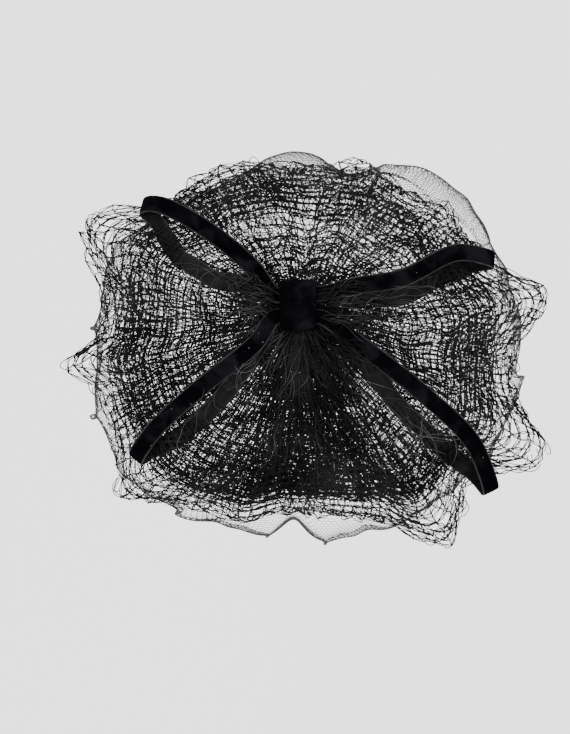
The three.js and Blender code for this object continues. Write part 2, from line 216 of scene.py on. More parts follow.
def cap_radius(way):
    """Distance of the dome's wall from its centre along a unit direction in x, rise and out."""
    x, rise, out = way[..., 0], way[..., 1], way[..., 2]
    front, up = SLOPE * (rise - out), SLOPE * (rise + out)
    return 1 / np.sqrt((x / HALF_WIDTH) ** 2 + (front / HALF_LENGTH) ** 2 + (up / HALF_HEIGHT) ** 2)


def cap_outline(turn):
    angle = np.radians(turn)
    return cap_radius(np.stack((np.cos(angle), np.sin(angle), 0 * angle), -1)) + swell(turn)


def plain_height(x, rise):
    """Height of the plain dome over a spot of the plane that faces the bow."""
    flat, tall = HALF_LENGTH ** -2, HALF_HEIGHT ** -2
    a = (flat + tall) / 2
    b = rise * (tall - flat)
    c = (x / HALF_WIDTH) ** 2 + a * rise ** 2 - 1
    return (-b + np.sqrt(np.maximum(b * b - 4 * a * c, 0))) / (2 * a)


def cap_height(x, rise):
    """The same height with the swellings, which grow the dome about its centre."""
    reach = np.hypot(x, rise)
    out = swell(turn_of(x, rise))
    grow = np.ones_like(reach)
    for _ in range(3):
        height = plain_height(x / grow, rise / grow)
        length = np.hypot(reach / grow, height)
        grow = 1 + out * (reach / grow / length) ** 2 / length
    return grow * plain_height(x / grow, rise / grow)


def hem_sweep(turn):
    """Sweep in degrees from the bow's side to the dome's hem."""
    angle = np.radians(turn)
    tilt = HEM_TILT * np.sin(angle) + HEM_ROUND * np.cos(2 * angle)
    waved = HEM_SWEEP + tilt + HEM_WAVE_SWEEP * np.sin(HEM_WAVES * angle)
    return waved - NOTCH_UP * bell(turn, NOTCH_TURN, NOTCH_HALF)


def cap_point(turn, part, proud):
    """Spot on the dome at a turn and a share of the way to the hem, standing proud of it."""
    sweep = np.radians(part * hem_sweep(turn))
    angle = np.radians(turn)
    shift = np.maximum(np.cos(sweep), 0) ** 2 / HALF_HEIGHT
    x = np.sin(sweep) * np.cos(angle) + BOW_X * shift
    rise = np.sin(sweep) * np.sin(angle) + BOW_RISE * shift
    way = unit(np.stack((x, rise, np.cos(sweep)), -1))
    radius = cap_radius(way) + swell(turn_of(x, rise)) * np.sin(sweep) ** 2 + proud
    return way * radius[..., None]


def edge_reach(turn):
    """Smooth closed curve through the rows of the veil's edge."""
    turns = np.array([row[0] for row in VEIL_EDGE] + [360.0])
    reaches = np.array([row[1] for row in VEIL_EDGE] + [VEIL_EDGE[0][1]])
    turn = np.asarray(turn, float) % 360
    row = np.searchsorted(turns, turn, side="right") - 1
    part = (turn - turns[row]) / (turns[row + 1] - turns[row])
    return reaches[row] + (reaches[row + 1] - reaches[row]) * part * part * (3 - 2 * part)


def veil_height(x, rise):
    """Height of the veil's middle surface, with its bunched centre back."""
    reach = np.hypot(x, rise)
    away = reach / cap_outline(turn_of(x, rise))
    past = np.maximum(away - SHOULDER, 0)
    held = np.minimum(away, SHOULDER) + FLARE * (1 - np.exp(-past / FLARE))
    scale = np.where(reach > 0, held / np.maximum(away, 1e-9), 1)
    below = BOW_RISE - rise
    along = smooth(GATHER_FROM - GATHER_RUN, GATHER_FROM + GATHER_RUN, below)
    along = along * (1 - smooth(GATHER_TO - GATHER_RUN, GATHER_TO + GATHER_RUN, below))
    bunch = GATHER_HEIGHT * along * np.exp(-(((x - GATHER_X) / GATHER_HALF) ** 2))
    return cap_height(x * scale, rise * scale) + bunch


def veil_point(turn, part, length, lift, flute_phase, lobed=1.0):
    """Spot on the veil at a turn and a share of the way to its edge."""
    angle = np.radians(turn)
    lobes = sum(out * bell(turn, at, half) for at, half, out in VEIL_LOBES)
    reach = (edge_reach(turn) + lobes * lobed) * length * part
    shift = (1 - part) ** 2
    x = reach * np.cos(angle) + BOW_X * shift
    rise = reach * np.sin(angle) + BOW_RISE * shift
    clear = (CAP_WALL + VEIL_WALL) / 2 + VEIL_GAP
    grown = np.maximum(part * length - FLUTE_START, 0) / (1 - FLUTE_START)
    flute = 0.5 + 0.5 * np.sin(FLUTES * angle + FLUTE_SWAY * np.sin(2 * angle) + flute_phase)
    free = np.ones_like(angle)
    for at in PRESSED_TURNS:
        free = free * (1 - PRESSED_SHARE * bell(turn, at, PRESSED_HALF))
    pleat = smooth(*PLEAT_START, part) * (1 - smooth(*PLEAT_END, part))
    pleat = pleat * PLEAT_HEIGHT * np.sin(PLEATS * angle + PLEAT_SWAY * np.sin(3 * angle))
    rise_up = PLEAT_HEIGHT * smooth(*LIFT_START, part) + pleat + lift
    height = veil_height(x, rise)
    away = 1 + (clear + rise_up) / np.sqrt(x * x + rise * rise + height * height)
    fluted = height * away + FLUTE_HEIGHT * flute * free * grown ** FLUTE_GROWTH
    return np.stack((x * away, rise * away, fluted), -1)


def wobble(turn, part, seed):
    """Soft unevenness from -1 to 1, the same each run, that closes round the hat."""
    rng = np.random.default_rng(seed)
    angle = np.radians(turn)
    total = 0.0
    for _ in range(WOBBLES):
        waves, along = rng.integers(2, 14), rng.uniform(0.5, 5)
        total = total + np.sin(waves * angle + along * 2 * math.pi * part + rng.uniform(0, 2 * math.pi))
    return total / math.sqrt(2 * WOBBLES)


def fresh_mesh(name, places, triangles, materials, uv):
    """A new object from arrays of places in metres and corner numbers, with unused places left out."""
    used = np.zeros(len(places), bool)
    used[triangles.ravel()] = True
    number = np.cumsum(used) - 1
    triangles = number[triangles]
    mesh = bpy.data.meshes.new(name)
    mesh.vertices.add(int(used.sum()))
    mesh.vertices.foreach_set("co", places[used].astype(np.float32).ravel())
    mesh.loops.add(triangles.size)
    mesh.loops.foreach_set("vertex_index", triangles.astype(np.int32).ravel())
    mesh.polygons.add(len(triangles))
    mesh.polygons.foreach_set("loop_start", np.arange(0, triangles.size, 3, dtype=np.int32))
    mesh.update(calc_edges=True)
    layer = mesh.uv_layers.new(name="OFBake")
    layer.data.foreach_set("uv", uv[used][triangles.ravel()].astype(np.float32).ravel())
    piece = bpy.data.objects.new(name, mesh)
    bpy.context.scene.collection.objects.link(piece)
    for material in materials:
        mesh.materials.append(material)
    return piece


def joined(parts):
    """Joins arrays of places, triangles and UVs into one set."""
    places, triangles, uvs, start = [], [], [], 0
    for spots, faces, uv in parts:
        places.append(spots)
        triangles.append(faces + start)
        uvs.append(uv)
        start += len(spots)
    return np.concatenate(places), np.concatenate(triangles), np.concatenate(uvs)


def strands(points, normals, radius, kept, shelf):
    """Three-sided threads along rows of points in metres. kept says which stretches are there.

    shelf is the low and high end of the band of the UV map that the threads take.
    """
    count, steps = points.shape[:2]
    run = unit(np.gradient(points, axis=1))
    side = unit(np.cross(normals, run))
    up = np.cross(run, side)
    corners = np.radians((90.0, 210.0, 330.0))
    ring = points[:, :, None] + radius[:, :, None, None] * (
        np.cos(corners)[:, None] * side[:, :, None] + np.sin(corners)[:, None] * up[:, :, None])
    number = np.arange(count * steps * 3).reshape(count, steps, 3)
    start, end = number[:, :-1][kept], number[:, 1:][kept]
    faces = []
    for corner in range(3):
        following = (corner + 1) % 3
        faces.append(np.stack((start[:, corner], start[:, following], end[:, following]), -1))
        faces.append(np.stack((start[:, corner], end[:, following], end[:, corner]), -1))
    before = np.pad(kept, ((0, 0), (1, 0)))
    after = np.pad(kept, ((0, 0), (0, 1)))
    opens, closes = after & ~before, before & ~after
    faces.append(number[opens][:, ::-1])
    faces.append(number[closes])
    low, high = shelf
    along = np.broadcast_to(np.linspace(0, 1, steps)[None, :, None], number.shape)
    row = low + (high - low) * (np.arange(count)[:, None, None] + np.array((0.1, 0.5, 0.9))) / count
    uv = np.stack((along, np.broadcast_to(row, number.shape)), -1)
    return ring.reshape(-1, 3), np.concatenate(faces), uv.reshape(-1, 2)


def knots(points, normals, size):
    """Small eight-sided knots at the crossings."""
    side = unit(np.cross(normals, np.array((0.37, 0.61, 0.7))))
    ahead = np.cross(normals, side)
    reach = np.stack((side, ahead, -side, -ahead, 0.8 * normals, -0.8 * normals), 1) * size[:, None, None]
    corners = (points[:, None] + reach).reshape(-1, 3)
    faces = np.array([(0, 1, 4), (1, 2, 4), (2, 3, 4), (3, 0, 4), (1, 0, 5), (2, 1, 5), (3, 2, 5), (0, 3, 5)])
    faces = (faces[None] + 6 * np.arange(len(points))[:, None, None]).reshape(-1, 3)
    return corners, faces, np.full((len(corners), 2), 0.5)


# Tulle

TULLE_PLANE = 1.955
HEM_TURN_UP = 0.03
TULLE_RIPPLES = ((19, 1.6, 0.0), (31, 0.8, 1.1), (47, 0.45, 2.7))
RIPPLE_START, SWAG_SWAY, TULLE_SEED = 0.6, 0.05, 5
UNEVEN_START, FULL_START = (0.2, 0.7), (0.3, 0.6)
# Soft folds laid in the tulle: turn, half width in degrees, slide in degrees, height, and where they start.
TULLE_FOLDS = (
    (8, 5, 8, 3, 0.5), (352, 4, 6, 2.5, 0.55), (30, 4, 6, 2.5, 0.6), (68, 7, 11, 4, 0.5), (84, 4, 6, 3, 0.55),
    (118, 5, 8, 3, 0.5), (175, 4, 6.5, 2.5, 0.55), (198, 5, 8, 3, 0.5), (232, 5, 8, 3, 0.5),
    (258, 3, 5, 2.5, 0.6), (275, 3, 5, 2.5, 0.6), (301, 5, 8, 3, 0.55), (325, 4, 6, 2.5, 0.55),
)
# Swags that fold the tulle across its fall: turn, half width in degrees, part, half width and slide as
# shares, and height.
TULLE_SWAGS = (
    (66, 14, 0.6, 0.045, 0.07, 3.5), (100, 12, 0.62, 0.035, 0.045, 2.5), (22, 10, 0.72, 0.04, 0.05, 2.5),
)
# Where the tulle stands a little fuller than the plain dome: turn, half width in degrees, and how far.
TULLE_FULLNESS = ((46, 16, 4.5), (15, 12, 2.0))


def tulle_spot(flat_x, flat_rise):
    """Spot on the dome for a place on the flat tulle, which is laid from the bow outwards."""
    turn = turn_of(flat_x, flat_rise)
    part = np.hypot(flat_x, flat_rise) / (TULLE_PLANE * hem_sweep(turn))
    inside = part > 1
    part = np.where(inside, 2 - part, part)
    angle = np.radians(turn)
    proud = np.where(inside, -0.5, 0.0)
    for waves, height, phase in TULLE_RIPPLES:
        ripple = np.sin(waves * angle + 2 * np.sin(angle) + phase)
        proud = proud + height * smooth(RIPPLE_START, 1, part) * ripple
    for at, half, fold_part, fold_half, slide, height in TULLE_SWAGS:
        apart = (part - fold_part - SWAG_SWAY * np.sin(np.radians(3 * (turn - at)))) / fold_half
        grown = bell(turn, at, half) * np.exp(-apart * apart)
        part = part - slide * grown * apart
        proud = proud + height * grown
    slid = turn
    for at, half, slide, height, start in TULLE_FOLDS:
        grown = smooth(start, 1, part)
        apart = ((turn - at + 180) % 360 - 180) / half
        slid = slid - slide * grown * apart * np.exp(-apart * apart)
        proud = proud + height * grown * np.exp(-apart * apart)
    proud = proud + wobble(turn, part, TULLE_SEED) * smooth(*UNEVEN_START, part)
    for at, half, out in TULLE_FULLNESS:
        proud = proud + out * bell(turn, at, half) * smooth(*FULL_START, part)
    return cap_point(slid, part, proud)


def tulle_piece(name, sector, settings, material):
    """One third of the dome as a closed lattice of six-sided cells."""
    cell, half_thread = settings.cell / MM, settings.thread / MM / math.sqrt(3)
    edge = cell / math.sqrt(3)
    limit = TULLE_PLANE * (HEM_SWEEP + HEM_TILT + abs(HEM_ROUND) + HEM_WAVE_SWEEP) * (1 + HEM_TURN_UP)
    deep = int(limit / (1.5 * edge)) + 2
    across = int(1.6 * limit / cell) + 2
    row, column = np.mgrid[-deep:deep + 1, -across:across + 1].astype(float)
    flat = np.stack(((column + row / 2) * cell, row * 1.5 * edge), -1)
    flats = (flat, flat + np.array((0, edge)))

    def within(spots):
        turn = turn_of(spots[..., 0], spots[..., 1])
        return np.hypot(spots[..., 0], spots[..., 1]) < TULLE_PLANE * hem_sweep(turn) * (1 + HEM_TURN_UP)

    spots = [tulle_spot(plane[..., 0], plane[..., 1]) for plane in flats]
    steps = ((0, 0), (-1, 0), (-1, 1))
    turn = turn_of(flat[..., 0], flat[..., 1])
    mine = within(flats[0]) & ((turn - sector[0]) % 360 < sector[1] - sector[0])
    inside = within(flats[1])
    kept = [mine & np.roll(inside, (-down, -over), (0, 1)) for down, over in steps]
    near = [np.roll(spots[1], (-down, -over), (0, 1)) for down, over in steps]
    back = [np.roll(spots[0], (down, over), (0, 1)) for down, over in steps]
    held = [np.roll(keep, (down, over), (0, 1)) for keep, (down, over) in zip(kept, steps)]

    count = mine.size
    corners = []
    for own, others in ((spots[0], near), (spots[1], back)):
        ways = [unit(other - own) for other in others]
        up = unit(np.cross(ways[1] - ways[0], ways[2] - ways[0]))
        facing = np.sign(np.sum(up * own, -1, keepdims=True))
        up = up * np.where(facing == 0, 1, facing)
        corners.append(own + up * half_thread)
        corners.extend(own - way * half_thread - up * half_thread / 2 for way in ways)
    # Corner numbers: top and three side corners of each crossing, for the two kinds of crossing.
    number = [np.arange(count).reshape(mine.shape) + count * index for index in range(8)]
    tops, sides = (number[0], number[4]), (number[1:4], number[5:8])
    faces = []
    for index, (down, over) in enumerate(steps):
        keep = kept[index]
        one, two = (index + 1) % 3, (index + 2) % 3
        ends = (tops[1], sides[1][two], sides[1][one])
        far = [np.roll(grid, (-down, -over), (0, 1))[keep] for grid in ends]
        top, right, left = tops[0][keep], sides[0][one][keep], sides[0][two][keep]
        quads = ((top, right, far[1], far[0]), (top, far[0], far[2], left), (left, far[2], far[1], right))
        for quad in quads:
            faces.append(np.stack(quad[:3], -1))
            faces.append(np.stack((quad[0], quad[2], quad[3]), -1))
    for kind, present in enumerate((kept, held)):
        used = present[0] | present[1] | present[2]
        faces.append(np.stack((sides[kind][0][used], sides[kind][2][used], sides[kind][1][used]), -1))
        for index in range(3):
            bare = used & ~present[index]
            faces.append(np.stack((tops[kind][bare], sides[kind][(index + 1) % 3][bare],
                                   sides[kind][(index + 2) % 3][bare]), -1))
    places = place(np.concatenate([grid.reshape(-1, 3) for grid in corners]))
    spread = 0.5 + np.concatenate([flats[index // 4].reshape(-1, 2) for index in range(8)]) / (2.1 * limit)
    return fresh_mesh(name, places, np.concatenate(faces), [material], spread)


# Coarse net. Parts are shares of the way from the bow to the free edge, lengths are millimetres.
# Above the bow the net is thin: middle turn, half width, and the parts over which it thins and closes again.
BARE_TURN, BARE_HALF, BARE_START, BARE_END = 92, 30, (0.08, 0.2), (0.72, 0.86)
FRILL_START = 0.7
RUFFLE_START, RUFFLE_SWAY = 0.35, 1.3
UNEVEN_TURN, UNEVEN_LIFT, UNEVEN_PART = 2.2, 0.5, 0.03
FIELD_EVENNESS, PAIR_EVENNESS, GROUND_EVENNESS = 0.75, 0.7, 0.6
PAIR_GAP = 1.1
BEND = 0.16
NET_START = 0.05
NET_REACH = 110.0
CROSSING_SHIFT = 0.32
EDGE_POINTS, EDGE_UNEVEN = 0.022, (-0.012, 0.006)
RING_SPREAD = 0.9
KNOTS_FROM, KNOTS_BARE = 0.62, 0.4
LEAST_PART, LEAST_BARE, LINE_BARE, RING_BARE, GROUND_BARE = 0.15, 0.1, 0.8, 0.7, 0.85
STRAY_SEED, STRAY_STEPS, STRAY_LENGTH, STRAY_LIFT, STRAY_REACH = 97, 17, 0.93, 3.5, 0.98
STRAY_DEPTH, STRAY_CURL = (-0.5, 0.5), 0.06
EDGE_LOOP_REACH = 1.035
EDGE_LOOP_DEPTH = (0.7, 1.6)
GROUND_LINE_POINTS, GROUND_RING_POINTS = 20, 180
GROUND_SHIFT, GROUND_SWAY, RING_WAVE, RING_PHASE = 0.3, 1.5, 0.006, 90


def net_spot(layer, turn, part):
    """Spot of a net layer: ruffles slide the net sideways over itself and curl it up towards the edge."""
    grown = smooth(RUFFLE_START, 1, part)
    angle = np.radians(turn)
    uneven = wobble(turn, part, layer["seed"])
    ruffle = layer["ruffles"] * angle + layer["phase"] + RUFFLE_SWAY * np.sin(2 * angle + layer["phase"])
    slid = turn + layer["slide"] * grown * np.sin(ruffle) + layer["twist"] * part * (1 - part)
    slid = slid + UNEVEN_TURN * uneven
    lift = layer["lift"] + layer["curl"] * grown * (0.5 + 0.5 * np.cos(ruffle)) + UNEVEN_LIFT * uneven
    part = part * (1 + UNEVEN_PART * (1 - part ** 4) * wobble(turn, part, layer["seed"] + 1))
    return veil_point(slid, part, layer["length"], lift, layer["phase"], layer["lobes"])


def net_normal(layer, turn, part):
    spot = net_spot(layer, turn, part)
    ahead = net_spot(layer, turn, part + 0.01) - spot
    beside = net_spot(layer, turn + 0.5, part) - spot
    normal = unit(np.cross(ahead, beside))
    return spot, normal * np.where(normal[..., 2:] < 0, -1, 1)


def bareness(turn, part):
    """How bare the net is: thin over the top above the bow, full elsewhere."""
    return bell(turn, BARE_TURN, BARE_HALF) * smooth(*BARE_START, part) * (1 - smooth(*BARE_END, part))


def frame_of_spots(spot, normal):
    """Places in metres and frame directions for spots and normals in x, rise and out."""
    turned = normal[..., :1] * SIDE + normal[..., 1:2] * RISE + normal[..., 2:3] * BACK
    return place(spot), turned


def between_points(grid):
    """The grid's rows with a point between each two."""
    woven = np.stack((grid[:, :-1], (grid[:, :-1] + grid[:, 1:]) / 2), -1).reshape(len(grid), -1)
    return np.concatenate((woven, grid[:, -1:]), 1)


def missing(layer, turns, parts):
    """How much of the layer is left out at each spot, from 0 to 1."""
    gone = layer["bare"] * bareness(turns, parts)
    if layer["only"]:
        gone = np.maximum(gone, 1 - bell(turns, *layer["only"]))
    return gone


def uneven_width(rng, least, shape):
    """Widths about one, from the least up to as far above one."""
    return least + 2 * (1 - least) * rng.random(shape)


def threads(layer, settings, turns, parts, thresholds, shelf, rng):
    """Threads along rows of turns and parts: single near the bow, and pairs that bow apart in the frill."""
    gone = missing(layer, turns, parts)
    there = (gone[:, :-1] + gone[:, 1:]) / 2 < thresholds
    frilled = (parts[:, :-1] + parts[:, 1:]) / 2 > FRILL_START
    spot, normal = net_normal(layer, turns, parts)
    places, facing = frame_of_spots(spot, normal)
    width = settings.field_thread / 2 * uneven_width(rng, FIELD_EVENNESS, turns.shape)
    pieces = [strands(places, facing, width, there & ~frilled, shelf)]
    turns, parts = between_points(turns), between_points(parts)
    spot, normal = net_normal(layer, turns, parts)
    side = unit(np.cross(normal, np.gradient(spot, axis=1)))
    middle = (np.arange(turns.shape[1]) % 2 == 1)[None, :, None]
    kept = np.repeat(there & frilled, 2, axis=1)
    for sign in (1, -1):
        apart = sign * PAIR_GAP / 2 + rng.normal(0, BEND, turns.shape)
        lifted = rng.normal(0, BEND, turns.shape)
        moved = spot + middle * (apart[..., None] * side + lifted[..., None] * normal)
        places, facing = frame_of_spots(moved, normal)
        width = settings.thread / 2 * uneven_width(rng, PAIR_EVENNESS, turns.shape)
        pieces.append(strands(places, facing, width, kept, shelf))
    return pieces


def net_layer(layer, settings, material):
    rng = np.random.default_rng(layer["seed"])
    lines, rings = layer["lines"], layer["rings"]
    turn = np.linspace(0, 360, lines, endpoint=False)[:, None] + np.zeros((1, rings))
    outward = np.linspace(0, 1, rings)[None, :] ** RING_SPREAD
    part = NET_START + (1 - NET_START) * outward + np.zeros((lines, 1))
    reach = np.maximum(part, LEAST_PART) * NET_REACH
    turn = turn + np.degrees(rng.normal(0, CROSSING_SHIFT, turn.shape) / reach)
    part = part + rng.normal(0, CROSSING_SHIFT, part.shape) / NET_REACH
    part[:, -1] += rng.uniform(*EDGE_UNEVEN, lines)
    part[::2, -1] -= EDGE_POINTS
    thresholds = LINE_BARE * rng.random((lines, 1)) + LEAST_BARE
    radial = threads(layer, settings, turn, part, thresholds, (0.0, 0.45), rng)
    ring_turn = np.concatenate((turn, turn[:1] + 360)).T
    ring_part = np.concatenate((part, part[:1])).T
    thresholds = RING_BARE * rng.random((rings, 1)) + LEAST_BARE
    around = threads(layer, settings, ring_turn, ring_part, thresholds, (0.5, 0.95), rng)
    spot, normal = net_normal(layer, turn, part)
    places, facing = frame_of_spots(spot, normal)
    tied = (part > KNOTS_FROM) & (missing(layer, turn, part) < KNOTS_BARE)
    size = settings.knot / 2 * uneven_width(rng, PAIR_EVENNESS, tied.sum())
    places, triangles, uv = joined((*radial, *around, knots(places[tied], facing[tied], size)))
    return fresh_mesh(layer["name"], places, triangles, [material], uv)


def ground_layer(layer, settings, material):
    """A finer fold of the net, with long even threads that aren't tied."""
    rng = np.random.default_rng(layer["seed"])
    lines, rings = layer["lines"], layer["rings"]
    pieces = []
    part = np.linspace(NET_START, 1, GROUND_LINE_POINTS)[None] + np.zeros((lines, 1))
    turn = np.linspace(0, 360, lines, endpoint=False)[:, None]
    turn = turn + rng.normal(0, GROUND_SHIFT * 360 / lines, (lines, 1))
    sway = GROUND_SWAY * rng.normal(0, 1, (lines, 1))
    turn = turn + sway * np.sin(math.pi * part * rng.uniform(1, 4, (lines, 1)))
    ring_turn = np.linspace(0, 360, GROUND_RING_POINTS + 1)[None] + np.zeros((rings, 1))
    ring_part = np.linspace(NET_START, 1, rings)[:, None] + rng.normal(0, GROUND_SHIFT / rings, (rings, 1))
    waves = rng.integers(3, 12, (rings, 1))
    ring_part = ring_part + RING_WAVE * np.sin(np.radians(ring_turn) * waves + RING_PHASE * ring_part)
    for turns, parts, shelf in ((turn, part, (0.0, 0.5)), (ring_turn, ring_part, (0.5, 1.0))):
        spot, normal = net_normal(layer, turns, parts)
        places, facing = frame_of_spots(spot, normal)
        gone = missing(layer, turns, parts)
        thresholds = GROUND_BARE * rng.random((len(turns), 1)) + LEAST_BARE
        kept = (gone[:, :-1] + gone[:, 1:]) / 2 < thresholds
        width = settings.ground_thread / 2 * uneven_width(rng, GROUND_EVENNESS, (len(turns), 1))
        width = width * np.ones(turns.shape)
        pieces.append(strands(places, facing, width, kept, shelf))
    places, triangles, uv = joined(pieces)
    return fresh_mesh(layer["name"], places, triangles, [material], uv)


def stray_threads(name, zones, thickness, material, layer=None):
    """Loose curving threads over the net and the ribbons' lower strips, or loops at a layer's free edge."""
    rng = np.random.default_rng(STRAY_SEED)
    curves = []
    along = np.linspace(-1, 1, STRAY_STEPS)
    furthest = EDGE_LOOP_REACH if layer else STRAY_REACH
    depth = EDGE_LOOP_DEPTH if layer else STRAY_DEPTH
    for zone in zones:
        for _ in range(zone["count"]):
            turn = zone["turn"] + zone["spread"] * rng.uniform(-1, 1)
            part = zone["part"] + zone["reach"] * rng.uniform(-1, 1)
            length = zone["length"] * rng.uniform(0.5, 1)
            aim = zone["stray"] * rng.uniform(-1, 1) + (math.pi / 2 if layer else 0)
            bow = length * rng.uniform(*depth) * along ** 2
            curl = length * STRAY_CURL * np.sin(along * rng.uniform(2, 7) + rng.uniform(0, 6))
            ahead = length * along * math.cos(aim) - (bow + curl) * math.sin(aim)
            beside = length * along * math.sin(aim) + (bow + curl) * math.cos(aim)
            parts = np.clip(part + ahead / NET_REACH, NET_START, furthest)
            turns = turn + np.degrees(beside / (np.maximum(parts, LEAST_PART) * NET_REACH))
            rise = zone["rise"] * rng.uniform(0.6, 1) * np.sqrt(1 - along ** 2)
            if layer:
                spot, normal = net_normal(layer, turns, parts)
                curves.append(spot + normal * rise[:, None])
            else:
                curves.append(veil_point(turns, parts, STRAY_LENGTH, STRAY_LIFT + rise, 1.0, 0.5))
    spots = np.array(curves)
    normal = unit(spots)
    places, facing = frame_of_spots(spots, normal)
    width = np.full(spots.shape[:2], thickness / 2)
    kept = np.ones((len(spots), STRAY_STEPS - 1), bool)
    places, triangles, uv = strands(places, facing, width, kept, (0.0, 1.0))
    return fresh_mesh(name, places, triangles, [material], uv)


# Ribbon bow

def bow_frame():
    angle = math.radians(KNOT_TILT)
    out = np.array((0.0, -math.cos(angle), math.sin(angle)))
    rise = np.array((0.0, math.sin(angle), math.cos(angle)))
    to_spot = np.stack((SIDE, RISE, BACK))
    seat = np.array(veil_point(np.array(0.0), np.array(0.0), 1.0, 0.0, 0.0))
    out, rise = to_spot @ out, to_spot @ rise
    lift = VEIL_WALL / 2 + KNOT_GAP + KNOT_CROWN * KNOT_WALL + MOUTH_DEPTH / 2
    return out, rise, seat + out * lift


def spline(points, samples=400):
    """Centripetal curve through the points, as many samples, evenly spaced along it."""
    points = np.asarray(points, float)
    padded = np.concatenate(([2 * points[0] - points[1]], points, [2 * points[-1] - points[-2]]))
    pieces = []
    for index in range(len(points) - 1):
        p0, p1, p2, p3 = padded[index:index + 4]
        d0, d1, d2 = (np.linalg.norm(b - a) ** 0.5 for a, b in ((p0, p1), (p1, p2), (p2, p3)))
        m1 = ((p1 - p0) / d0 - (p2 - p0) / (d0 + d1) + (p2 - p1) / d1) * d1
        m2 = ((p2 - p1) / d1 - (p3 - p1) / (d1 + d2) + (p3 - p2) / d2) * d1
        t = np.linspace(0, 1, samples, endpoint=False)[:, None]
        pieces.append((2 * t ** 3 - 3 * t ** 2 + 1) * p1 + (t ** 3 - 2 * t ** 2 + t) * m1
                      + (-2 * t ** 3 + 3 * t ** 2) * p2 + (t ** 3 - t ** 2) * m2)
    curve = np.concatenate(pieces + [points[-1:]])
    length = np.concatenate(([0], np.cumsum(np.linalg.norm(np.diff(curve, axis=0), axis=1))))
    return curve, length / length[-1]


def along_spline(curve, part):
    spots, share = curve
    part = np.clip(part, 0, 1)
    return np.stack([np.interp(part, share, spots[:, axis]) for axis in range(3)], -1)


def on_veil(spot):
    return np.stack((spot[:, 0], spot[:, 1], veil_height(spot[:, 0], spot[:, 1]) + spot[:, 2]), -1)


def loop_path(loop, steps):
    """Centre line of a loop: out along the upper strip, round the tip and back along the lower one."""
    out, rise, middle = bow_frame()
    root = middle + rise * loop["seat"] + np.array((loop["side"], 0, 0))
    across = root[0] + loop["side"] * KNOT_WIDTH * np.array(KNOT_STRAIGHT)
    level = np.full(len(across), root[1])
    inside = np.stack((across, level, root[2] - veil_height(across, level)), -1)
    curve = spline(np.concatenate((inside, np.array(loop["run"], float))))
    share = np.linspace(0, 1, steps + 1)
    part = np.sin(math.pi * share) ** 2
    lower = smooth(*TURN_BACK, share)
    wide = smooth(*WIDEN, part) * (1 - PINCH * smooth(*NARROW, part))
    way = unit(on_veil(along_spline(curve, part + 0.01)) - on_veil(along_spline(curve, part - 0.01)))
    spot = along_spline(curve, part)
    face = unit(on_veil(spot))
    free = smooth(*LEAVE, part)
    strip = RIBBON_THICK + STRIP_GAP
    below = along_spline(curve, np.minimum(part, LEAVE[0]))[:, 2] - strip * free / 2
    spot[:, :2] += np.array(loop["open"][:2]) * (wide * lower)[:, None]
    settled = below + (loop["open"][2] - below) * smooth(*SETTLE, part)
    spot[:, 2] += (settled - spot[:, 2]) * lower
    apart = strip * (0.5 - lower) * (1 - free)
    return on_veil(spot) + out * apart[:, None], way, face, part


# Section of the velvet ribbon: share of its half width, and height. The pile is the upper side.
RIBBON_SECTION = (
    (-1.0, -0.1), (-0.985, 0.22), (-0.93, 0.34), (-0.9, 0.26), (-0.86, 0.52), (-0.7, 0.62),
    (-0.35, 0.65), (0, 0.66), (0.35, 0.65), (0.7, 0.62), (0.86, 0.52), (0.9, 0.26),
    (0.93, 0.34), (0.985, 0.22), (1.0, -0.1), (0.96, -0.34), (0.9, -0.36), (0.87, -0.28),
    (0.45, -0.3), (0, -0.31), (-0.45, -0.3), (-0.87, -0.28), (-0.9, -0.36), (-0.96, -0.34),
)
PILE_SIDE, BACK_SIDE = range(4, 10), range(17, 21)
RIBBON_STEPS, ROOT_WIDEN = 220, (0.08, 0.3)


def swept(rings, closed):
    """Triangles over rings of corners, capped at the ends unless the sweep closes on itself."""
    count, size = rings.shape[:2]
    number = np.arange(count * size).reshape(count, size)
    following = np.roll(number, -1, 0) if closed else number[1:]
    start = number if closed else number[:-1]
    beside, beside_following = np.roll(start, -1, 1), np.roll(following, -1, 1)
    one = np.stack((start, beside, beside_following), -1)
    two = np.stack((start, beside_following, following), -1)
    sides = np.stack((one, two), 2).reshape(-1, 3)
    faces = [sides]
    owner = [np.broadcast_to(np.arange(size)[None, :, None], start.shape + (2,)).ravel()]
    if not closed:
        fan = np.array([(0, index + 1, index) for index in range(1, size - 1)])
        faces += [fan, fan[:, ::-1] + number[-1, 0]]
        owner.append(np.full(2 * len(fan), size - 2))
    return np.concatenate(faces), np.concatenate(owner)


def smoothed(piece):
    piece.data.polygons.foreach_set("use_smooth", np.ones(len(piece.data.polygons), bool))
    piece.data.update()
    return piece


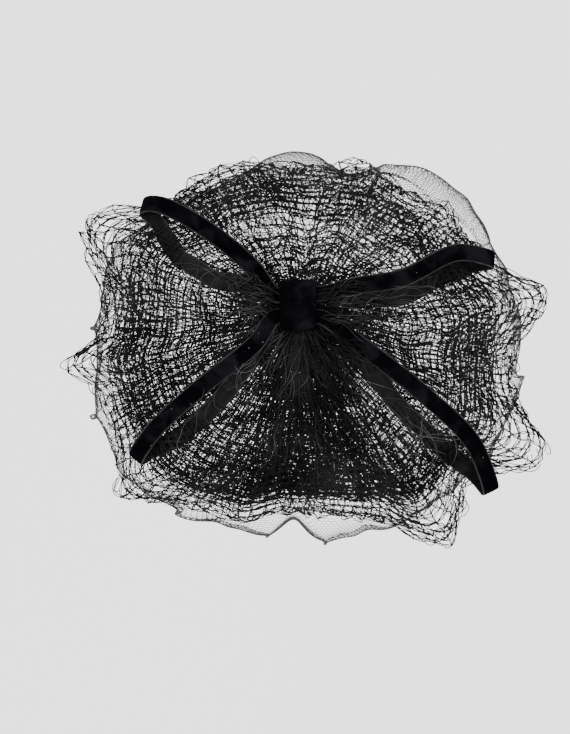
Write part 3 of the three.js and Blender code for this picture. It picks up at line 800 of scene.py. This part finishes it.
def ribbon_loop(loop, materials):
    out, _, _ = bow_frame()
    path, way, face, part = loop_path(loop, RIBBON_STEPS)
    run = unit(np.concatenate((path[1:], path[-1:])) - np.concatenate((path[:1], path[:-1])))
    mixed = smooth(*TURN_OUT, part)[:, None]
    look = unit(out * (1 - mixed) + (face + np.array(loop["lean"])) * mixed)
    across = unit(np.cross(way, look))
    square = (1 - smooth(*TIP, part))[:, None]
    across = unit(across - square * np.sum(across * run, -1, keepdims=True) * run)
    up = unit(np.cross(across, run))
    half = (ROOT_WIDTH + (RIBBON_WIDTH - ROOT_WIDTH) * smooth(*ROOT_WIDEN, part)) / 2
    section = np.array(RIBBON_SECTION)
    rings = (path[:, None] + across[:, None] * half[:, None, None] * section[None, :, :1]
             + up[:, None] * section[None, :, 1:])
    faces, owner = swept(rings, False)
    size = len(section)
    length = np.concatenate(([0], np.cumsum(np.linalg.norm(np.diff(path, axis=0), axis=1))))
    uv = np.stack(np.broadcast_arrays((length / length[-1])[:, None], (np.arange(size) / size)[None]), -1)
    name = loop["name"] + "_ribbon"
    piece = fresh_mesh(name, place(rings.reshape(-1, 3)), faces, materials, uv.reshape(-1, 2))
    kind = np.ones(size, np.int32)
    kind[list(PILE_SIDE)] = 0
    kind[list(BACK_SIDE)] = 2
    piece.data.polygons.foreach_set("material_index", kind[owner].astype(np.int32))
    return smoothed(piece), length[-1] * MM


# The knot's band: its steps round and across, and its creases.
KNOT_STEPS, KNOT_PROFILE_STEPS = 96, 24
CREASES, CREASE_HEIGHT, CREASE_SWAY = 5.5, 0.3, 0.8


def squared(value):
    return np.sign(value) * np.abs(value) ** KNOT_SQUARENESS


def bow_knot(materials):
    out, rise, middle = bow_frame()
    turn = np.linspace(0, 2 * math.pi, KNOT_STEPS, endpoint=False)
    ring = (squared(np.cos(turn))[:, None] * out * MOUTH_DEPTH / 2
            + squared(np.sin(turn))[:, None] * rise * MOUTH_HEIGHT / 2)
    way = np.cos(turn)[:, None] * out + np.sin(turn)[:, None] * rise
    share = np.linspace(-1, 1, KNOT_PROFILE_STEPS)
    crown = KNOT_WALL * (KNOT_CROWN - KNOT_FALL * share ** 2 - KNOT_EDGE * np.abs(share) ** 7)
    across = np.concatenate((share, (0.96, -0.96))) * KNOT_WIDTH / 2
    rings = []
    for index in range(KNOT_STEPS):
        sway = CREASE_SWAY * np.sin(turn[index] * 2)
        creases = CREASE_HEIGHT * np.cos(CREASES * share + sway) * (1 - share ** 6)
        high = np.concatenate((crown + creases - 0.1, (0.2, 0.2)))
        rings.append(middle + ring[index] + across[:, None] * SIDE + high[:, None] * way[index])
    rings = np.array(rings)
    faces, _ = swept(rings, True)
    uv = np.stack(np.meshgrid(np.arange(len(across)) / len(across), turn / (2 * math.pi)), -1).reshape(-1, 2)
    piece = fresh_mesh("bow_knot_band", place(rings.reshape(-1, 3)), faces, materials, uv)
    return smoothed(piece)


# Materials

EFFECT_OUTPUTS = {"Colour": "NodeSocketColor", "Roughness": "NodeSocketFloat", "Height": "NodeSocketFloat"}


def node_group(name, inputs):
    """A shared effect that puts out a colour, a roughness and a height."""
    group = bpy.data.node_groups.new(name, "ShaderNodeTree")
    for label, kind, value in inputs:
        group.interface.new_socket(label, in_out="INPUT", socket_type=kind).default_value = value
    for label, kind in EFFECT_OUTPUTS.items():
        group.interface.new_socket(label, in_out="OUTPUT", socket_type=kind)
    return group, group.nodes.new("NodeGroupInput"), group.nodes.new("NodeGroupOutput")


def put_out(group, outputs, *values):
    """Links the effect's colour, roughness and height to its outputs."""
    for label, value in zip(EFFECT_OUTPUTS, values):
        group.links.new(value, outputs.inputs[label])
    return group


def texture(group, kind, coordinates, scale, **values):
    node = group.nodes.new(kind)
    node.inputs["Scale"].default_value = scale
    for label, value in values.items():
        node.inputs[label].default_value = value
    group.links.new(coordinates, node.inputs["Vector"])
    return node


def ramp(group, value, low, high, out_low, out_high):
    """A value's range moved to another, smoothly."""
    node = group.nodes.new("ShaderNodeMapRange")
    node.interpolation_type = "SMOOTHSTEP"
    for label, number in (("From Min", low), ("From Max", high), ("To Min", out_low), ("To Max", out_high)):
        node.inputs[label].default_value = number
    group.links.new(value, node.inputs["Value"])
    return node.outputs["Result"]


def blend(group, share, first, second):
    node = group.nodes.new("ShaderNodeMix")
    node.data_type = "RGBA"
    group.links.new(share, node.inputs["Factor"])
    for value, socket in ((first, node.inputs["A"]), (second, node.inputs["B"])):
        if isinstance(value, bpy.types.NodeSocket):
            group.links.new(value, socket)
        else:
            socket.default_value = value
    return node.outputs["Result"]


def added(group, first, second, share):
    """first + second * share, as a value."""
    node = group.nodes.new("ShaderNodeMath")
    node.operation = "MULTIPLY_ADD"
    group.links.new(second, node.inputs[0])
    node.inputs[1].default_value = share
    group.links.new(first, node.inputs[2])
    return node.outputs[0]


def twisted_thread():
    """Dyed thread: uneven dye along the cloth and a fine twist of fibres."""
    group, inputs, outputs = node_group("twisted_thread", (
        ("Colour", "NodeSocketColor", (0, 0, 0, 1)), ("Worn colour", "NodeSocketColor", (0.1, 0.1, 0.1, 1))))
    spots = group.nodes.new("ShaderNodeTexCoord").outputs["Object"]
    dye = texture(group, "ShaderNodeTexNoise", spots, 38, Detail=3)
    fibre = texture(group, "ShaderNodeTexNoise", spots, 1900, Detail=2)
    uneven = added(group, dye.outputs["Fac"], fibre.outputs["Fac"], 0.5)
    worn = ramp(group, uneven, 0.62, 1.0, 0.0, 1.0)
    dyed = blend(group, worn, inputs.outputs["Colour"], inputs.outputs["Worn colour"])
    rough = ramp(group, fibre.outputs["Fac"], 0.3, 0.7, 0.38, 0.62)
    return put_out(group, outputs, dyed, rough, fibre.outputs["Fac"])


def velvet_pile():
    """Short pile: leaning patches, fine tufts, and a few specks of lint."""
    group, inputs, outputs = node_group("velvet_pile", (
        ("Colour", "NodeSocketColor", (0, 0, 0, 1)),
        ("Brushed colour", "NodeSocketColor", (0.02, 0.02, 0.02, 1)),
        ("Lint colour", "NodeSocketColor", (0.3, 0.3, 0.3, 1))))
    spots = group.nodes.new("ShaderNodeTexCoord").outputs["Object"]
    lean = texture(group, "ShaderNodeTexNoise", spots, 70, Detail=4, Distortion=0.6)
    tufts = texture(group, "ShaderNodeTexNoise", spots, 2400, Detail=2)
    lint = texture(group, "ShaderNodeTexVoronoi", spots, 150)
    pile = blend(group, ramp(group, lean.outputs["Fac"], 0.42, 0.72, 0.0, 1.0), inputs.outputs["Colour"],
                 inputs.outputs["Brushed colour"])
    specks = ramp(group, lint.outputs["Distance"], 0.035, 0.06, 0.75, 0.0)
    linted = blend(group, specks, pile, inputs.outputs["Lint colour"])
    rough = ramp(group, tufts.outputs["Fac"], 0.3, 0.7, 0.85, 1.0)
    relief = added(group, lean.outputs["Fac"], tufts.outputs["Fac"], 0.35)
    return put_out(group, outputs, linted, rough, relief)


def satin_weave():
    """Ribbon back: fine ribs across the ribbon with a dull lustre."""
    group, inputs, outputs = node_group("satin_weave", (
        ("Colour", "NodeSocketColor", (0, 0, 0, 1)),
        ("Worn colour", "NodeSocketColor", (0.04, 0.04, 0.04, 1)),
        ("Ribs", "NodeSocketFloat", 900.0)))
    spots = group.nodes.new("ShaderNodeTexCoord").outputs["UV"]
    ribs = texture(group, "ShaderNodeTexWave", spots, 1, Distortion=1.5, Detail=2)
    group.links.new(inputs.outputs["Ribs"], ribs.inputs["Scale"])
    places = group.nodes.new("ShaderNodeTexCoord").outputs["Object"]
    rubs = texture(group, "ShaderNodeTexNoise", places, 160, Detail=4)
    worn = ramp(group, added(group, rubs.outputs["Fac"], ribs.outputs["Fac"], 0.25), 0.45, 0.9, 0.0, 1.0)
    dyed = blend(group, worn, inputs.outputs["Colour"], inputs.outputs["Worn colour"])
    rough = ramp(group, rubs.outputs["Fac"], 0.3, 0.7, 0.36, 0.52)
    return put_out(group, outputs, dyed, rough, ribs.outputs["Fac"])


def dressed(name, group, colours, bump, fixed):
    """A material with colour, roughness and bump from a shared effect, and the rest from fixed values."""
    material = bpy.data.materials.new(name)
    material.use_nodes = True
    tree = material.node_tree
    shader = tree.nodes["Principled BSDF"]
    effect = tree.nodes.new("ShaderNodeGroup")
    effect.node_tree = group
    for label, colour in colours.items():
        effect.inputs[label].default_value = (*colour, 1)
    relief = tree.nodes.new("ShaderNodeBump")
    relief.inputs["Strength"].default_value = 0.6
    relief.inputs["Distance"].default_value = bump
    tree.links.new(effect.outputs["Height"], relief.inputs["Height"])
    tree.links.new(relief.outputs["Normal"], shader.inputs["Normal"])
    tree.links.new(effect.outputs["Colour"], shader.inputs["Base Color"])
    tree.links.new(effect.outputs["Roughness"], shader.inputs["Roughness"])
    for label, value in fixed.items():
        shader.inputs[label].default_value = value
    return material


def shared(build):
    """The effect's node group, built once."""
    return bpy.data.node_groups.get(build.__name__) or build()


def pile_material(name, settings):
    colours = {"Colour": settings.colour, "Brushed colour": settings.brushed, "Lint colour": settings.lint}
    fixed = {"Sheen Weight": 0.015, "Sheen Roughness": 0.3, "Specular IOR Level": 0.0}
    return dressed(name, shared(velvet_pile), colours, 0.12 * MM, fixed)


def floor_material(colour):
    material = bpy.data.materials.new("pale_floor")
    material.use_nodes = True
    shader = material.node_tree.nodes["Principled BSDF"]
    shader.inputs["Base Color"].default_value = (*colour, 1)
    shader.inputs["Roughness"].default_value = 0.9
    shader.inputs["Emission Color"].default_value = (1, 1, 1, 1)
    shader.inputs["Emission Strength"].default_value = FLOOR_GLOW
    return material


# Settings

def measure(name, description, default, low=0.0):
    return bpy.props.FloatProperty(
        name=name, description=description, default=default, min=low, unit="LENGTH")


def shade(name, description, default):
    return bpy.props.FloatVectorProperty(
        name=name, description=description, default=default, subtype="COLOR")


class TulleSettings(bpy.types.PropertyGroup):
    cell: measure("Cell", "Width of a six-sided cell of the tulle", 3.0 * MM, 1.5 * MM)
    thread: measure("Thread", "Thickness of the tulle's threads", 0.28 * MM)
    colour: shade("Colour", "Colour of the tulle", (0.012, 0.012, 0.013))
    worn: shade("Worn colour", "Where the tulle's dye is thin", (0.05, 0.05, 0.052))


class NetSettings(bpy.types.PropertyGroup):
    thread: measure("Thread", "Thickness of the frill's paired threads", 0.58 * MM)
    field_thread: measure("Field thread", "Thickness of the threads near the bow", 0.56 * MM)
    ground_thread: measure("Ground thread", "Thickness of the threads of the tighter folds", 0.57 * MM)
    pale_thread: measure("Highlight thread", "Thickness of the loose pale threads", 0.3 * MM)
    knot: measure("Knot", "Size of the knots at the crossings", 1.35 * MM)
    colour: shade("Colour", "Colour of the coarse net", (0.0015, 0.0015, 0.0018))
    worn: shade("Worn colour", "Where the net's dye is thin", (0.016, 0.016, 0.017))
    # Painted highlight: this lighter colour on the loose threads stands in for the light they catch.
    pale: shade("Highlight colour", "Loose threads that catch the light", (0.09, 0.09, 0.095))


class RibbonSettings(bpy.types.PropertyGroup):
    colour: shade("Pile", "Colour of the velvet's pile", (0.0012, 0.0012, 0.0016))
    brushed: shade("Brushed pile", "Where the pile leans", (0.006, 0.006, 0.007))
    lint: shade("Lint", "Colour of the specks of lint", (0.12, 0.12, 0.12))
    back: shade("Back", "Colour of the ribbon's back", (0.0015, 0.0015, 0.002))
    selvedge: shade("Selvedge", "Colour of the woven edges", (0.008, 0.008, 0.009))
    rubbed: shade("Rubbed", "Where the woven edges are rubbed", (0.03, 0.03, 0.032))


class StageSettings(bpy.types.PropertyGroup):
    floor_drop: measure("Floor drop", "How far the floor lies below the hat's lowest hem", 0.45)
    distance: measure("Distance", "From the camera to the dome's centre", 6.0)
    view_height: measure("View height", "What the picture's height takes in at the dome's centre", 0.411)


class HatSettings(bpy.types.PropertyGroup):
    tulle: bpy.props.PointerProperty(type=TulleSettings)
    net: bpy.props.PointerProperty(type=NetSettings)
    ribbon: bpy.props.PointerProperty(type=RibbonSettings)
    stage: bpy.props.PointerProperty(type=StageSettings)


# Operators

# Sectors of the tulle, in degrees.
SECTORS = ((30, 150), (150, 270), (270, 390))
# Soft lights: name, place and width in metres, and power in watts.
LIGHTS = (
    ("key_light", (-0.9, -1.1, 1.5), 1.2, 26),
    ("fill_light", (1.3, -0.7, 0.9), 1.4, 12),
    ("back_light", (0.2, 1.4, 1.2), 1.2, 12),
)
FLOOR_SIZE, FLOOR_GLOW, WORLD_LIGHT = 14, 0.5, 1.5
AIM, CAMERA_TILT, SENSOR_HEIGHT, FURTHEST_SEEN = (-12.9, -11.2, 0.0), 45, 24, 30


class HAT_OT_tulle_dome(bpy.types.Operator):
    """Knit the dome of fine tulle in three sectors"""
    bl_idname = "hat.tulle_dome"
    bl_label = "Tulle dome"

    def execute(self, context):
        settings = context.scene.halo_hat.tulle
        material = dressed("black_tulle", shared(twisted_thread),
                           {"Colour": settings.colour, "Worn colour": settings.worn}, 0.02 * MM,
                           {"Specular IOR Level": 0.3})
        for number, sector in enumerate(SECTORS, 1):
            piece = tulle_piece(f"tulle_sector_{number}", sector, settings, material)
            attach(piece, "root")
            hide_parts("tulle_cap")
        return {"FINISHED"}


class HAT_OT_coarse_veil(bpy.types.Operator):
    """Knot the layers of coarse net that are gathered under the bow"""
    bl_idname = "hat.coarse_veil"
    bl_label = "Coarse veil"

    def execute(self, context):
        settings = context.scene.halo_hat.net
        material = dressed("black_net", shared(twisted_thread),
                           {"Colour": settings.colour, "Worn colour": settings.worn}, 0.05 * MM,
                           {"Specular IOR Level": 0.1})
        pieces = [net_layer(layer, settings, material) for layer in NET_LAYERS]
        pieces.extend(ground_layer(layer, settings, material) for layer in GROUND_LAYERS)
        pieces.append(stray_threads("net_strays", STRAYS, settings.ground_thread, material))
        pieces.append(stray_threads(
            "net_edge_loops", EDGE_STRAYS, settings.ground_thread, material, NET_LAYERS[0]))
        # Painted highlight: these loose threads get a lighter colour in place of the light they catch.
        pale = dressed("painted_highlight_net", shared(twisted_thread),
                       {"Colour": settings.worn, "Worn colour": settings.pale}, 0.05 * MM,
                       {"Specular IOR Level": 0.2})
        pieces.append(stray_threads("net_painted_highlight_strays", PAINTED_HIGHLIGHT_STRAYS, settings.pale_thread, pale))
        for piece in pieces:
            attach(piece, "root")
            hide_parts("coarse_veil")
        return {"FINISHED"}


class HAT_OT_ribbon_loops(bpy.types.Operator):
    """Weave the four velvet loops"""
    bl_idname = "hat.ribbon_loops"
    bl_label = "Ribbon loops"

    def execute(self, context):
        settings = context.scene.halo_hat.ribbon
        pile = pile_material("ribbon_pile", settings)
        weave = shared(satin_weave)
        dull = {"Specular IOR Level": 0.07}
        edge = dressed("ribbon_selvedge", weave,
                       {"Colour": settings.selvedge, "Worn colour": settings.rubbed}, 0.03 * MM, dull)
        back = dressed("ribbon_back", weave,
                       {"Colour": settings.back, "Worn colour": settings.selvedge}, 0.02 * MM, dull)
        for loop in LOOPS:
            piece, length = ribbon_loop(loop, [pile, edge, back])
            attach(piece, "root")
            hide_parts(loop["name"])
        return {"FINISHED"}


class HAT_OT_bow_knot(bpy.types.Operator):
    """Wrap the velvet band round the ends of the loops"""
    bl_idname = "hat.bow_knot"
    bl_label = "Bow knot"

    def execute(self, context):
        settings = context.scene.halo_hat.ribbon
        piece = bow_knot([pile_material("knot_pile", settings)])
        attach(piece, "root")
        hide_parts("bow_knot")
        return {"FINISHED"}


class HAT_OT_stage(bpy.types.Operator):
    """Set the white floor, the soft lights and the camera"""
    bl_idname = "hat.stage"
    bl_label = "Stage"

    def execute(self, context):
        settings = context.scene.halo_hat.stage
        low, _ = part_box("tulle_cap")
        bpy.ops.mesh.primitive_plane_add(size=FLOOR_SIZE, location=(0, 0, low.z - settings.floor_drop))
        floor = context.object
        floor.name = "floor"
        floor.data.materials.append(floor_material((1.0, 1.0, 1.0)))
        world = bpy.data.worlds.new("studio")
        world.use_nodes = True
        world.node_tree.nodes["Background"].inputs["Color"].default_value = (1, 1, 1, 1)
        world.node_tree.nodes["Background"].inputs["Strength"].default_value = WORLD_LIGHT
        context.scene.world = world
        for name, spot, size, power in LIGHTS:
            bpy.ops.object.light_add(type="AREA", location=spot)
            lamp = context.object
            lamp.name = name
            lamp.data.size = size
            lamp.data.energy = power
            aim = Vector(CENTRE) - lamp.location
            lamp.rotation_euler = aim.to_track_quat("-Z", "Y").to_euler()
        target = Vector(place(np.array(AIM)))
        bpy.ops.object.camera_add(location=target + Vector(BACK) * settings.distance)
        camera = context.object
        camera.name = "camera"
        camera.rotation_euler = (math.radians(CAMERA_TILT), 0, 0)
        camera.data.sensor_fit = "VERTICAL"
        camera.data.sensor_height = SENSOR_HEIGHT
        camera.data.lens = SENSOR_HEIGHT * settings.distance / settings.view_height
        camera.data.clip_end = FURTHEST_SEEN
        context.scene.camera = camera
        return {"FINISHED"}


class HAT_PT_panel(bpy.types.Panel):
    bl_label = "Halo hat"
    bl_idname = "HAT_PT_panel"
    bl_space_type = "VIEW_3D"
    bl_region_type = "UI"
    bl_category = "Halo hat"

    def draw(self, context):
        settings = context.scene.halo_hat
        for group, operators in (
            (settings.tulle, (HAT_OT_tulle_dome,)), (settings.net, (HAT_OT_coarse_veil,)),
            (settings.ribbon, (HAT_OT_ribbon_loops, HAT_OT_bow_knot)), (settings.stage, (HAT_OT_stage,)),
        ):
            box = self.layout.box()
            for name in group.__annotations__:
                box.prop(group, name)
            for operator in operators:
                box.operator(operator.bl_idname)


CLASSES = (
    TulleSettings, NetSettings, RibbonSettings, StageSettings, HatSettings,
    HAT_OT_tulle_dome, HAT_OT_coarse_veil, HAT_OT_ribbon_loops, HAT_OT_bow_knot, HAT_OT_stage, HAT_PT_panel,
)


def register():
    for cls in CLASSES:
        bpy.utils.register_class(cls)
    bpy.types.Scene.halo_hat = bpy.props.PointerProperty(type=HatSettings)


def unregister():
    del bpy.types.Scene.halo_hat
    for cls in reversed(CLASSES):
        bpy.utils.unregister_class(cls)


def main():
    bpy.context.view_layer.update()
    register()
    bpy.ops.object.select_all(action="DESELECT")
    bpy.ops.hat.tulle_dome()
    bpy.ops.hat.coarse_veil()
    bpy.ops.hat.ribbon_loops()
    bpy.ops.hat.bow_knot()
    bpy.ops.hat.stage()


if __name__ == "__main__":
    main()
